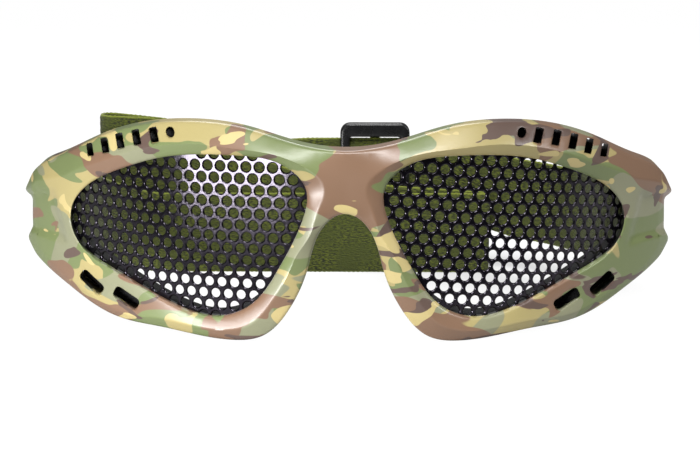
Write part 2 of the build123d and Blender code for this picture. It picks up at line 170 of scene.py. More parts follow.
def linear(colour):
    """A colour written 0 to 255 as seen on a screen, as the linear colour of a shader."""
    made = []
    for value in colour:
        share = value / 255
        made.append(share / 12.92 if share <= 0.04045 else ((share + 0.055) / 1.055) ** 2.4)
    return (*made, 1.0)


def make_piece(name, points, faces, material, sharp):
    """A mesh object of points in millimetres, shaded smooth but for edges above an angle."""
    mesh = bpy.data.meshes.new(name)
    mesh.from_pydata([tuple(c * MM for c in p) for p in points], [], faces)
    mesh.validate()
    piece = bpy.data.objects.new(name, mesh)
    bpy.context.scene.collection.objects.link(piece)
    mesh.materials.append(material)
    mesh.shade_smooth()
    mesh.set_sharp_from_angle(angle=radians(sharp))
    return piece


def placed(shares):
    """Front-view points in millimetres from their shares of the frame's size."""
    return np.array([(x * HALF_WIDTH, z * HEIGHT) for x, z in shares])


def cubic(knots, step, start=None, end=None, closed=False):
    """Evenly spaced points on the smooth cubic through the knots, with its end headings."""
    knots = np.array(knots, float)
    count = len(knots)
    ahead = np.roll(knots, -1, axis=0) - knots
    if not closed:
        ahead = ahead[:-1]
    gap = np.hypot(*ahead[:, :2].T)
    slope = ahead / gap[:, None]
    matrix = np.zeros((count, count))
    known = np.zeros_like(knots)
    for i in range(count):
        if closed or 0 < i < count - 1:
            before, after = gap[i - 1], gap[i % len(gap)]
            matrix[i, i - 1] += after
            matrix[i, i] += 2 * (before + after)
            matrix[i, (i + 1) % count] += before
            known[i] = 3 * (after * slope[i - 1] + before * slope[i % len(gap)])
        else:
            heading = start if i == 0 else end
            matrix[i, i] = 1
            known[i] = np.array(heading) / np.hypot(*heading) if heading else slope[0 if i == 0 else -1]
    speed = np.linalg.solve(matrix, known)
    points = []
    for i, length in enumerate(gap):
        here, there = knots[i], knots[(i + 1) % count]
        pace_here, pace_there = speed[i] * length, speed[(i + 1) % count] * length
        for t in np.arange(0, 1, 1 / max(1, round(length / step))):
            points.append((2 * t ** 3 - 3 * t ** 2 + 1) * here + (t ** 3 - 2 * t ** 2 + t) * pace_here
                          + (3 * t ** 2 - 2 * t ** 3) * there + (t ** 3 - t ** 2) * pace_there)
    if not closed:
        points.append(knots[-1])
    return np.array(points)


def straight(corners, step):
    """Evenly spaced points along straight runs, without the last corner."""
    points = []
    for a, b in zip(corners, corners[1:]):
        count = max(1, round(np.hypot(*(b - a)) / step))
        points += [a + (b - a) * k / count for k in range(count)]
    return np.array(points)


def softened(loop, times):
    """A closed loop with its corners eased."""
    for _ in range(times):
        loop = (np.roll(loop, 1, axis=0) + 2 * loop + np.roll(loop, -1, axis=0)) / 4
    return loop


def mirrored(loop):
    """The same loop on the other side."""
    return (loop * np.array([-1, 1]))[::-1]


def inward(loop):
    """The unit normals that point into a closed loop."""
    along = np.roll(loop, -1, axis=0) - np.roll(loop, 1, axis=0)
    normal = np.stack([-along[:, 1], along[:, 0]], axis=1)
    normal /= np.hypot(*normal.T)[:, None]
    nxt = np.roll(loop, -1, axis=0)
    area = (loop[:, 0] * nxt[:, 1] - nxt[:, 0] * loop[:, 1]).sum()
    return normal if area > 0 else -normal


def nearest(points, loop):
    """Each point's distance to a closed loop, with the loop's segment and the share along it."""
    a, b = loop, np.roll(loop, -1, axis=0)
    run = b - a
    length = (run ** 2).sum(1)
    far, seg, share = [], [], []
    for chunk in np.array_split(points, ceil(len(points) / CHUNK)):
        t = ((chunk[:, None] - a) * run).sum(2) / length
        t = t.clip(0, 1)
        gap = np.hypot(*np.moveaxis(chunk[:, None] - a - t[..., None] * run, 2, 0))
        best = gap.argmin(1)
        rows = np.arange(len(chunk))
        far.append(gap[rows, best])
        seg.append(best)
        share.append(t[rows, best])
    return np.concatenate(far), np.concatenate(seg), np.concatenate(share)


def inside(points, loop):
    """Which points lie in a closed loop."""
    found = np.zeros(len(points), bool)
    for a, b in zip(loop, np.roll(loop, -1, axis=0)):
        crosses = (a[1] > points[:, 1]) != (b[1] > points[:, 1])
        if crosses.any():
            x = a[0] + (points[:, 1] - a[1]) * (b[0] - a[0]) / (b[1] - a[1] or 1)
            found ^= crosses & (points[:, 0] < x)
    return found


def inset_loop(loop, depth, outwards=False):
    """A loop drawn in, or out, by a depth, without the points that cross over."""
    turned = inward(loop) * (-1 if outwards else 1)
    moved = loop + turned * depth
    far = nearest(moved, loop)[0]
    return moved[far > depth * kept_depth_share]


def slot(centre, size, turn):
    """The outline of a slot with rounded corners."""
    length, width, radius = size
    ends = []
    for quarter, (across, up) in enumerate(((1, 1), (-1, 1), (-1, -1), (1, -1))):
        for k in range(SLOT_CORNER_POINTS):
            angle = pi / 2 * (quarter + k / (SLOT_CORNER_POINTS - 1))
            ends.append((across * (length / 2 - radius) + radius * cos(angle),
                         up * (width / 2 - radius) + radius * sin(angle)))
    lean = radians(turn)
    spin = np.array([[cos(lean), sin(lean)], [-sin(lean), cos(lean)]])
    corners = np.array(ends) @ spin + centre
    return straight(list(corners) + [corners[0]], SLOT_STEP)


def depth_at(x, radius):
    """The y of a surface of this radius round the wrap axis."""
    return AXIS_Y - np.sqrt(np.maximum(radius ** 2 - np.asarray(x, float) ** 2, 0))


def eased(share):
    """A smooth step from 0 to 1."""
    share = np.clip(share, 0, 1)
    return share * share * (3 - 2 * share)


def triangles(points, lines, keep):
    """The triangles between points that no closed line crosses, where keep says so."""
    coords, edges = [Vector(p) for p in points], []
    for line in lines:
        first = len(coords)
        coords += [Vector(p) for p in line]
        edges += [(first + k, first + (k + 1) % len(line)) for k in range(len(line))]
    made = delaunay_2d_cdt(coords, edges, [], 0, MERGE_GAP)
    found = np.array([tuple(v) for v in made[0]])
    tris = np.array([tuple(f) for f in made[2]])
    middles = found[tris].mean(1)
    return found, tris[keep(middles)]


def matching(points, wanted):
    """The index of the point nearest to each wanted place."""
    return [int(np.hypot(*(points - place).T).argmin()) for place in wanted]


# Outlines of the frame

def front_outline():
    """The frame's outline in the front view, anticlockwise from the top's middle."""
    top = cubic(placed(brow_line_shares), LOOP_STEP, start=(1, 0), end=TIP_HEADING)[:-1]
    tip = straight(placed(temple_tip_shares), LOOP_STEP)
    chin = cubic(placed(chin_line_shares), LOOP_STEP, start=CHIN_HEADING, end=(-1, 0))
    half = np.concatenate([top, tip, chin])
    other = mirrored(half)[1:-1]
    whole = softened(np.concatenate([half, other]), OUTLINE_EASINGS)
    whole[:, 1] = np.maximum(whole[:, 1], 0)
    return whole


def vents():
    """The outlines of every vent on the left."""
    made = [slot(place, BROW_VENT, BROW_VENT_TURN) for place in placed(brow_vent_shares)]
    made += [slot(place, END_SLOT, BROW_VENT_TURN) for place in placed(end_slot_shares)]
    made += [slot(place, END_VENT, BROW_VENT_TURN) for place in placed(end_vent_shares)]
    made += [slot(place, CHEEK_VENT, turn)
             for place, turn in zip(placed(cheek_vent_shares), CHEEK_VENT_TURNS)]
    return made


outline = front_outline()
opening = cubic(placed(opening_shares), LOOP_STEP, closed=True)
vent_loops = vents()
ridge_knots = [(x * HALF_WIDTH, z * HEIGHT, slope * HALF_WIDTH, cove * HALF_WIDTH)
               for x, z, slope, cove in ridge_shares]
ridge = cubic(ridge_knots, LOOP_STEP, closed=True)
panel = placed(panel_shares)


def frame_recess(points):
    """How far the frame's face lies behind its wrap, at points of the front view."""
    left = np.abs(points[:, 0])[:, None] * np.array([[1, 0]]) + points * np.array([[0, 1]])
    to_edge = nearest(points, outline)[0]
    to_lens = nearest(left, opening)[0]
    to_ridge, seg, share = nearest(left, ridge[:, :2])
    depths = ridge[:, 2:] / HALF_WIDTH
    slope, cove = (depths[seg] * (1 - share)[:, None]
                   + np.roll(depths, -1, axis=0)[seg] * share[:, None]).T
    within = inside(left, ridge[:, :2])
    out_share = to_ridge / (to_ridge + to_edge + TINY)
    in_share = to_ridge / (to_ridge + to_lens + TINY)
    fall = np.where(within, COVE_DEPTH * cove * in_share ** COVE_CURVE,
                    SLOPE_DEPTH * slope * out_share ** SLOPE_CURVE)
    in_panel = inside(left, panel)
    panel_gap = nearest(left, panel)[0]
    fall += np.where(in_panel, PANEL_RECESS * eased(panel_gap / PANEL_EDGE), 0)
    return fall, to_edge, within


def edge_roll(gap, radius):
    """How far a rounded edge falls back at a distance from it."""
    rest = np.clip(radius - gap, 0, radius)
    return radius - np.sqrt(radius ** 2 - rest ** 2)


def frame_points():
    """The front view's points and triangles, and which of them lie in the rim."""
    lens_loops = [opening, mirrored(opening)]
    holes = vent_loops + [mirrored(v) for v in vent_loops]
    rim_line = inset_loop(outline, FRAME_WALL)
    ridges = [ridge[:, :2], mirrored(ridge[:, :2])]
    closed = [outline, *lens_loops, *holes, rim_line, *ridges]
    loose = []
    for share in edge_ring_shares:
        loose.append(inset_loop(outline, EDGE_ROUND * share))
        loose += [inset_loop(loop, EDGE_ROUND * share, outwards=True) for loop in lens_loops]
    for share in vent_ring_shares:
        loose += [inset_loop(loop, VENT_ROUND * share, outwards=True) for loop in holes]
    for loop in ridges:
        loose += [inset_loop(loop, CREST_ROUND), inset_loop(loop, CREST_ROUND, outwards=True)]
    xs = np.arange(-HALF_WIDTH, HALF_WIDTH, GRID)
    rows = np.arange(0, HEIGHT, GRID * sqrt(3) / 2)
    grid = np.array([(x + (k % 2) * GRID / 2, z) for k, z in enumerate(rows) for x in xs])
    for loop in (outline, *lens_loops, *holes):
        grid = grid[nearest(grid, loop)[0] > EDGE_ROUND * edge_clear_share]
    for loop in (*ridges, rim_line):
        grid = grid[nearest(grid, loop)[0] > GRID * line_clear_share]
    loose = np.concatenate([*loose, grid])

    def in_frame(middles):
        keep = inside(middles, outline)
        for loop in (*lens_loops, *holes):
            keep &= ~inside(middles, loop)
        return keep

    points, tris = triangles(loose, closed, in_frame)
    rim = nearest(points[tris].mean(1), outline)[0] < FRAME_WALL
    return points, tris, rim, lens_loops, holes


def frame_depths(points, lens_loops, holes):
    """Front, wall back and rim back of the frame at points of the front view."""
    fall, to_edge, within = frame_recess(points)
    face = depth_at(points[:, 0], WRAP_RADIUS)
    front = face + fall + edge_roll(to_edge, EDGE_ROUND)
    for loop in lens_loops:
        front += edge_roll(nearest(points, loop)[0], EDGE_ROUND) * lens_edge_round_share
    for loop in holes:
        front += edge_roll(nearest(points, loop)[0], VENT_ROUND)
    seat = depth_at(points[:, 0], WRAP_RADIUS - FRAME_WALL)
    back = np.where(within, seat, np.maximum(seat, face + fall + BACK_WALL))
    rim_back = np.minimum(depth_at(points[:, 0], WRAP_RADIUS - RIM_DEPTH), FRONT_Y + TEMPLE_REACH)
    return front, back, rim_back


def closed_shell(points, tris, rim, front, back, rim_back):
    """Front and stepped back of a holed plate, joined by walls, as points and faces."""
    count = len(points)
    levels = [np.column_stack([points[:, 0], y, points[:, 1]]) for y in (front, back, rim_back)]
    faces = []
    walls = {}
    for (a, b, c), in_rim in zip(tris.tolist(), rim.tolist()):
        level = 2 * count if in_rim else count
        faces.append((a, b, c))
        faces.append((c + level, b + level, a + level))
        for edge in ((a, b), (b, c), (c, a)):
            walls.setdefault(tuple(sorted(edge)), []).append((edge, level))
    for sides in walls.values():
        if len(sides) == 1:
            (a, b), level = sides[0]
            for near in range(0, level, count):
                faces.append((b + near, a + near, a + near + count, b + near + count))
        elif sides[0][1] != sides[1][1]:
            (a, b), level = sides[0]
            faces.append((b + level, a + level, a + sides[1][1], b + sides[1][1]))
    verts = np.concatenate(levels)
    used = sorted({v for face in faces for v in face})
    number = {v: k for k, v in enumerate(used)}
    return verts[used].tolist(), [tuple(number[v] for v in face) for face in faces]


def add_cylinder(verts, faces, low, high, radius):
    """A closed cylinder between two points, joined to a list of points and faces."""
    axis = (Vector(high) - Vector(low)).normalized()
    across = axis.orthogonal().normalized()
    other = axis.cross(across)
    first = len(verts)
    for end in (low, high):
        for k in range(BAR_SIDES):
            angle = 2 * pi * k / BAR_SIDES
            spot = Vector(end) + radius * (cos(angle) * across + sin(angle) * other)
            verts.append(tuple(spot))
    for k in range(BAR_SIDES):
        nxt = (k + 1) % BAR_SIDES
        faces.append((first + k, first + nxt, first + BAR_SIDES + nxt, first + BAR_SIDES + k))
    faces.append(tuple(first + k for k in reversed(range(BAR_SIDES))))
    faces.append(tuple(first + BAR_SIDES + k for k in range(BAR_SIDES)))


# Materials

# Noise is given as its scale, detail, roughness and distortion, relief as its noise, strength
# and depth in metres, and a colour as it looks on a screen, 0 to 255
PRINT_EDGE = 0.006
PRINT_GROUND = ((35, 1), (192, 175, 120), (168, 157, 106))
# The frame's faces towards the wearer are painted this near black as shade
INSIDE_SHADE_COLOUR = (26, 26, 25)

# Each layer of the print: its place in the noise, stretch, lean, noise, the level above
# which it is painted, and its colour
PRINT_LAYERS = [
    ((0.013, 0.02, 0.031), (1.0, 0.55, 1.7), 0.35, (47, 1.8, 0.5, 0.7), 0.484, (122, 134, 88)),
    ((0.21, 0.02, 0.17), (1.0, 0.5, 1.5), -0.3, (40, 1.6, 0.5, 0.6), 0.560, (146, 147, 118)),
    ((0.4, 0.13, 0.52), (1.0, 0.5, 1.6), 0.5, (44, 1.5, 0.45, 0.7), 0.556, (136, 107, 86)),
    ((0.77, 0.31, 0.12), (1.0, 0.45, 2.1), 0.25, (62, 1.7, 0.5, 0.8), 0.622, (102, 84, 76)),
    ((0.05, 0.6, 0.33), (1.0, 0.5, 1.9), -0.5, (88, 1.2, 0.45, 0.6), 0.652, (206, 188, 130)),
]
PRINT_GRAIN = (5200, 2, 0.6)
PRINT_SHADE = (0.76, 0.86)
PRINT_ROUGHNESS = (0.25, 0.38)
PRINT_GLOSS_NOISE = (300, 3)
PRINT_RELIEF = ((2600, 2, 0.6), 0.12, 0.00008)

# Where the cosine to the outward direction turns from the printed face to the inside, which is painted
# near black as shade
INNER_SIDE = (-0.2, -0.4)

# Painted, moulded and turned pieces: the noise and the two colours of their tone, the noise
# and the range of their roughness, and their relief
PLASTIC_RELIEF = ((3000, 2), 0.2, 0.00006)
COATED_STEEL = ((900, 3), ((4, 4, 6), (13, 11, 16)), (700, 2), (0.12, 0.20),
                ((1500, 2), 0.25, 0.00006))
RING_PLASTIC = ((600, 3), ((20, 20, 21), (34, 34, 35)), (400, 2), (0.45, 0.6), PLASTIC_RELIEF)
SLIDER_PLASTIC = ((600, 3), ((14, 14, 15), (26, 26, 27)), (400, 2), (0.22, 0.34), PLASTIC_RELIEF)
TURNED_STEEL = ((2500, 2), ((150, 150, 152), (190, 190, 190)), (1800, 2), (0.25, 0.45))
COAT_SPECULAR = 0.40
COAT_TINT = (244, 232, 255)

FOAM_CELLS = 1900.0
# The foam is coloured darker in its cells' hollows: painted shade
FOAM_COLOURS = ((24, 24, 26), (58, 58, 60))
FOAM_ROUGHNESS = 0.95
FOAM_RELIEF = (0.7, 0.0003)

WEAVE_SCALE = (900, 2600, 1)
WEAVE_DETAIL = 2.0
WEAVE_LEVELS = (0.38, 0.62)
# The weave is coloured darker where its relief is low: painted shade in its hollows
WEAVE_COLOURS = ((30, 35, 5), (88, 97, 15))
WEAVE_RELIEF = (1.0, 0.0005)
BLOTCH_NOISE = (120, 2)
BLOTCH_LEVELS = (0.35, 0.75)
BLOTCH_COLOUR = (62, 70, 9)
# A lighter band along both edges of the webbing, a painted highlight, and how far off the edge it
# starts and ends
EDGE_HIGHLIGHT_COLOUR = (118, 128, 34)
EDGE_HIGHLIGHT_INNER = 0.7
EDGE_HIGHLIGHT_OUTER = 0.1
WEBBING_ROUGHNESS = 0.85
WEBBING_SHEEN = 0.15
WEBBING_SHEEN_ROUGHNESS = 0.5


def new_material(name):
    """An empty node material with its Principled shader."""
    material = bpy.data.materials.new(name)
    material.use_nodes = True
    return material, material.node_tree, material.node_tree.nodes["Principled BSDF"]


def node(tree, kind, **settings):
    """A shader node with its settings and the constant values of its inputs."""
    made = tree.nodes.new("ShaderNode" + kind)
    for key, value in settings.items():
        if key.startswith("in_"):
            made.inputs[key[3:].replace("_", " ")].default_value = value
        else:
            setattr(made, key, value)
    return made


def noise(tree, where, scale, detail=2.0, rough=0.5, distort=0.0):
    """Noise over coordinates."""
    made = node(tree, "TexNoise", in_Scale=scale, in_Detail=detail, in_Roughness=rough,
                in_Distortion=distort)
    tree.links.new(where, made.inputs["Vector"])
    return made.outputs["Fac"]


def ramp(tree, source, low, high):
    """Zero below low and one above high."""
    made = node(tree, "MapRange", interpolation_type="SMOOTHSTEP")
    made.inputs["From Min"].default_value = low
    made.inputs["From Max"].default_value = high
    tree.links.new(source, made.inputs["Value"])
    return made.outputs["Result"]


def spread(tree, source, low, high):
    """A source from 0 to 1 spread over the range from low to high."""
    made = node(tree, "MapRange")
    made.inputs["To Min"].default_value = low
    made.inputs["To Max"].default_value = high
    tree.links.new(source, made.inputs["Value"])
    return made.outputs["Result"]


def mixed(tree, share, first, second):
    """One colour painted over another by a share."""
    made = node(tree, "Mix", data_type="RGBA")
    tree.links.new(share, made.inputs["Factor"])
    for source, socket in ((first, made.inputs["A"]), (second, made.inputs["B"])):
        if isinstance(source, tuple):
            socket.default_value = source
        else:
            tree.links.new(source, socket)
    return made.outputs["Result"]


def shifted(tree, coords, place, size, turn=(0, 0, 0)):
    """Coordinates moved, stretched and turned."""
    made = node(tree, "Mapping")
    made.inputs["Location"].default_value = place
    made.inputs["Scale"].default_value = size
    made.inputs["Rotation"].default_value = turn
    tree.links.new(coords, made.inputs["Vector"])
    return made.outputs["Vector"]


def add_bump(tree, shader, height, strength, distance):
    """Fine relief on a shader."""
    made = node(tree, "Bump", in_Strength=strength, in_Distance=distance)
    tree.links.new(height, made.inputs["Height"])
    tree.links.new(made.outputs["Normal"], shader.inputs["Normal"])


def inner_side(tree, coords):
    """One where a surface of the frame faces the wearer, zero where it faces out."""
    facing = node(tree, "TexCoord").outputs["Normal"]
    from_axis = shifted(tree, coords, (0, -AXIS_Y * MM, 0), (1, 1, 0))
    outwards = node(tree, "VectorMath", operation="NORMALIZE")
    tree.links.new(from_axis, outwards.inputs[0])
    along = node(tree, "VectorMath", operation="DOT_PRODUCT")
    tree.links.new(outwards.outputs["Vector"], along.inputs[0])
    tree.links.new(facing, along.inputs[1])
    return ramp(tree, along.outputs["Value"], *INNER_SIDE)


def camouflage():
    """Printed satin plastic: cream ground, green and brown patches and small pale spots, with painted
    shade in near black on the faces towards the wearer.
    """
    material, tree, shader = new_material("printed_plastic")
    coords = node(tree, "TexCoord").outputs["Object"]
    ground, light, dark = PRINT_GROUND
    layer = mixed(tree, noise(tree, coords, *ground), linear(light), linear(dark))
    for place, size, lean, pattern, level, colour in PRINT_LAYERS:
        where = shifted(tree, coords, place, size, (0, lean, 0))
        patches = ramp(tree, noise(tree, where, *pattern), level, level + PRINT_EDGE)
        layer = mixed(tree, patches, layer, linear(colour))
    # Painted shade: the faces towards the wearer turn near black
    layer = mixed(tree, inner_side(tree, coords), layer, linear(INSIDE_SHADE_COLOUR))
    grained = node(tree, "Mix", data_type="RGBA", blend_type="MULTIPLY")
    grained.inputs["Factor"].default_value = 1.0
    tree.links.new(layer, grained.inputs["A"])
    tree.links.new(spread(tree, noise(tree, coords, *PRINT_GRAIN), *PRINT_SHADE), grained.inputs["B"])
    tree.links.new(grained.outputs["Result"], shader.inputs["Base Color"])
    gloss = spread(tree, noise(tree, coords, *PRINT_GLOSS_NOISE), *PRINT_ROUGHNESS)
    tree.links.new(gloss, shader.inputs["Roughness"])
    relief, strength, distance = PRINT_RELIEF
    add_bump(tree, shader, noise(tree, coords, *relief), strength, distance)
    return material


def speckled(name, tone, colours, gloss, roughness, relief=None):
    """A material between two colours and two roughnesses, with its shader."""
    material, tree, shader = new_material(name)
    coords = node(tree, "TexCoord").outputs["Object"]
    colour = mixed(tree, noise(tree, coords, *tone), linear(colours[0]), linear(colours[1]))
    tree.links.new(colour, shader.inputs["Base Color"])
    rough = spread(tree, noise(tree, coords, *gloss), *roughness)
    tree.links.new(rough, shader.inputs["Roughness"])
    if relief:
        bumps, strength, distance = relief
        add_bump(tree, shader, noise(tree, coords, *bumps), strength, distance)
    return material, shader


def coated_steel():
    """Black powder paint over steel, glossy with a fine orange peel."""
    material, shader = speckled("coated_steel", *COATED_STEEL)
    shader.inputs["Specular IOR Level"].default_value = COAT_SPECULAR
    shader.inputs["Specular Tint"].default_value = linear(COAT_TINT)
    return material


def screw_steel():
    """Plain turned steel."""
    material, shader = speckled("turned_steel", *TURNED_STEEL)
    shader.inputs["Metallic"].default_value = 1.0
    return material


def foam_material():
    """Dark open-cell foam, with painted shade in its cells' hollows."""
    material, tree, shader = new_material("face_foam")
    coords = node(tree, "TexCoord").outputs["Object"]
    cells = node(tree, "TexVoronoi", in_Scale=FOAM_CELLS)
    tree.links.new(coords, cells.inputs["Vector"])
    # Painted shade: the cells' hollows, where the relief is low, take the darker colour
    deep, raised = FOAM_COLOURS
    colour = mixed(tree, cells.outputs["Distance"], linear(deep), linear(raised))
    tree.links.new(colour, shader.inputs["Base Color"])
    shader.inputs["Roughness"].default_value = FOAM_ROUGHNESS
    add_bump(tree, shader, cells.outputs["Distance"], *FOAM_RELIEF)
    return material


def webbing_material():
    """Olive elastic webbing, knitted in lengthwise ribs with a crossing weft, with painted shade in the
    weave's hollows and a painted highlight along its edges.
    """
    material, tree, shader = new_material("webbing")
    uv = node(tree, "UVMap", uv_map="along").outputs["UV"]
    apart = node(tree, "SeparateXYZ")
    tree.links.new(uv, apart.inputs["Vector"])
    coords = node(tree, "TexCoord").outputs["Object"]
    weave = noise(tree, shifted(tree, uv, (0, 0, 0), WEAVE_SCALE), 1.0, WEAVE_DETAIL)
    # Painted shade: the weave is coloured darker where its relief is low
    deep, raised = WEAVE_COLOURS
    colour = mixed(tree, ramp(tree, weave, *WEAVE_LEVELS), linear(deep), linear(raised))
    blotches = ramp(tree, noise(tree, coords, *BLOTCH_NOISE), *BLOTCH_LEVELS)
    colour = mixed(tree, blotches, colour, linear(BLOTCH_COLOUR))
    from_middle = node(tree, "Math", operation="SUBTRACT")
    from_middle.inputs[1].default_value = STRAP_WIDTH * MM / 2
    tree.links.new(apart.outputs["Y"], from_middle.inputs[0])
    off_middle = node(tree, "Math", operation="ABSOLUTE")
    tree.links.new(from_middle.outputs[0], off_middle.inputs[0])
    # Painted highlight: a lighter band along both edges of the webbing
    edge_highlight = ramp(tree, off_middle.outputs[0], (STRAP_WIDTH / 2 - EDGE_HIGHLIGHT_INNER) * MM,
                    (STRAP_WIDTH / 2 - EDGE_HIGHLIGHT_OUTER) * MM)
    colour = mixed(tree, edge_highlight, colour, linear(EDGE_HIGHLIGHT_COLOUR))
    tree.links.new(colour, shader.inputs["Base Color"])
    shader.inputs["Roughness"].default_value = WEBBING_ROUGHNESS
    shader.inputs["Sheen Weight"].default_value = WEBBING_SHEEN
    shader.inputs["Sheen Roughness"].default_value = WEBBING_SHEEN_ROUGHNESS
    add_bump(tree, shader, weave, *WEAVE_RELIEF)
    return material


# Pieces

def build_frame(material):
    """The moulded frame with its strap bars."""
    points, tris, rim, lens_loops, holes = frame_points()
    front, back, rim_back = frame_depths(points, lens_loops, holes)
    verts, faces = closed_shell(points, tris, rim, front, back, rim_back)
    for side in (1, -1):
        x, y = side * bar_x, bar_y
        add_cylinder(verts, faces, (x, y, BAR_LOW), (x, y, BAR_HIGH), BAR_RADIUS)
    piece = make_piece("frame_shell", verts, faces, material, FRAME_SHARP)
    fix_normals(piece)
    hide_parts("front_frame")
    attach(piece, BODY)


def lens_sheet(side, tilt, name, node_name, material):
    """The perforated lens: round holes with rolled edges, bent round the wrap."""
    edge = inset_loop(opening, LENS_MARGIN, outwards=True)
    radius = LENS_RADIUS
    flat = np.column_stack([radius * np.arcsin(edge[:, 0] / radius), edge[:, 1]])
    middle = (flat.min(0) + flat.max(0)) / 2
    reach = np.hypot(*(flat.max(0) - middle))
    pitch_up = MESH_PITCH * sqrt(3) / 2
    rows, columns = ceil(reach / pitch_up), ceil(reach / MESH_PITCH) + 1
    turn = radians(-tilt)
    places = []
    for row in range(-rows, rows + 1):
        for column in range(-columns, columns + 1):
            along, up = (column + row % 2 / 2) * MESH_PITCH, row * pitch_up
            places.append((middle[0] + along * cos(turn) - up * sin(turn),
                           middle[1] + along * sin(turn) + up * cos(turn)))
    places = np.array(places)
    places = places[inside(places, flat)]
    mouth = HOLE_ROLL[0][0]
    places = places[nearest(places, flat)[0] > mouth + HOLE_EDGE_GAP]
    angles = [2 * pi * k / HOLE_SIDES for k in range(HOLE_SIDES)]
    ring = np.array([(cos(a), sin(a)) for a in angles])
    circles = [place + ring * mouth for place in places]

    def in_sheet(middles):
        keep = inside(middles, flat)
        centre_gap = np.min(np.hypot(middles[:, None, 0] - places[None, :, 0],
                                     middles[:, None, 1] - places[None, :, 1]), axis=1)
        return keep & (centre_gap > mouth * hole_cut_share)

    points, tris = triangles([], [flat, *circles], in_sheet)
    verts, faces = [], []

    def bent(u, z, depth):
        r = radius - depth
        return (side * r * sin(u / radius), AXIS_Y - r * cos(u / radius), z)

    count = len(points)
    for depth in (0.0, LENS_THICKNESS):
        verts += [bent(u, z, depth) for u, z in points]
    for a, b, c in tris.tolist():
        faces += [(a, b, c), (c + count, b + count, a + count)]
    stations = HOLE_ROLL[1:] + [(r, LENS_THICKNESS - d) for r, d in HOLE_ROLL[:0:-1]]
    for place, circle in zip(places, circles):
        start = matching(points, circle)
        chain = [start]
        for r, depth in stations:
            first = len(verts)
            verts += [bent(u, z, depth) for u, z in place + ring * r]
            chain.append(list(range(first, first + HOLE_SIDES)))
        chain.append([k + count for k in start])
        for near, far in zip(chain, chain[1:]):
            for k in range(HOLE_SIDES):
                nxt = (k + 1) % HOLE_SIDES
                faces.append((near[nxt], near[k], far[k], far[nxt]))
    rim = matching(points, flat)
    for a, b in zip(rim, rim[1:] + rim[:1]):
        faces.append((a, b, b + count, a + count))
    piece = make_piece(name, verts, faces, material, LENS_SHARP)
    fix_normals(piece)
    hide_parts(node_name)
    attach(piece, BODY)


def fix_normals(piece):
    """Every face of a closed piece turned outwards."""
    work = bmesh.new()
    work.from_mesh(piece.data)
    bmesh.ops.remove_doubles(work, verts=work.verts, dist=WELD_GAP)
    bmesh.ops.recalc_face_normals(work, faces=work.faces)
    work.to_mesh(piece.data)
    work.free()


def relaxed_copy(name, node_name, material, voxel, relax_share, rounds):
    """A CAD node's own shape, remeshed and relaxed so that its edges are soft."""
    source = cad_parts[node_name]
    piece = source.copy()
    piece.data = source.data.copy()
    for key in list(piece.keys()):
        del piece[key]
    piece.name = name
    piece.data.name = name
    piece.parent = None
    piece.hide_render = False
    bpy.context.scene.collection.objects.link(piece)
    piece.data.materials.clear()
    piece.data.materials.append(material)
    remesh = piece.modifiers.new("remesh", "REMESH")
    remesh.mode = "VOXEL"
    remesh.voxel_size = voxel * MM
    relax = piece.modifiers.new("relax", "SMOOTH")
    relax.factor = relax_share
    relax.iterations = rounds
    bpy.context.view_layer.update()
    shaped = piece.evaluated_get(bpy.context.evaluated_depsgraph_get())
    mesh = bpy.data.meshes.new_from_object(shaped)
    piece.modifiers.clear()
    piece.data = mesh
    mesh.shade_smooth()
    return piece


def build_foam(name, node_name, material):
    """A foam pad with a crowned face, and the brow's with its top raised behind the vents."""
    piece = relaxed_copy(name, node_name, material, FOAM_VOXEL, foam_relax_share,
                         FOAM_RELAX_ROUNDS)
    for vertex in piece.data.vertices:
        if node_name == "brow_foam" and vertex.normal.z > foam_upward_share:
            vertex.co.z += FOAM_LIFT * MM
    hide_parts(node_name)
    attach(piece, BODY)


def build_slider(material):
    """The slider, with softened moulded edges."""
    piece = relaxed_copy("moulded_slider", "strap_slider", material, SLIDER_VOXEL,
                         slider_relax_share, SLIDER_RELAX_ROUNDS)
    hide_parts("strap_slider")
    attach(piece, "slider")


def dress(node_name, material):
    """A CAD node's own shape with a finished material."""
    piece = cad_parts[node_name]
    piece.data.materials.clear()
    piece.data.materials.append(material)


# Strap: its route in plan and the height of its lower edge, as in the part's source
STRAP_WIDTH = 25.0
STRAP_THICKNESS = 1.3
FOLD_PITCH = 2.2
LOOP_RADIUS = 2.7
LAYER_PITCH = 1.9
LAYER_GAP = 0.6
STRAP_TAIL = 12.0
STRAP_NECK = 7.0
BEND_LIMIT = 60.0
bend_run_share = 0.48
bar_x = bar_out_share * HALF_WIDTH
bar_y = float(depth_at(bar_x, WRAP_RADIUS - BAR_INSET))
far_y = -FRONT_Y - STRAP_THICKNESS / 2
bar_rise_share = 0.262
strap_route_shares = [(-0.790, 0.580, 0.110), (-0.650, 0.809, 0.0), (0.457, 0.809, 0.0),
                      (0.457, None, 0.0), (-0.100, 0.848, 0.060), (-0.640, 0.855, 0.395),
                      (-0.826, 0.858, 0.405), (-0.826, 1.0, 0.405), (-0.602, 1.0, 0.369),
                      (-0.330, 0.972, 0.250), (-0.150, 0.944, 0.275), (0.330, 0.944, 0.275),
                      (0.545, 0.861, 0.183), (0.735, 0.608, 0.166)]

# The strap's mesh: steps along it and across it, the angle between points in a bend, and
# over how many points its rise is eased
STRAP_STEP = 0.7
STRAP_COLUMNS = 40
BEND_ANGLE = 7.0
RISE_EASING = 13

# The webbing's ribs, the scallops of its woven edges, and its thickness near its edges
STRAP_RIBS = 12
RIB_HEIGHT = 0.10
RIB_FOOT = 0.12
SCALLOP_DEPTH = 0.16
SCALLOP_PITCH = 1.5
FLOOR_GAP = 0.02
edge_thickness_shares = (0.35, 0.8)


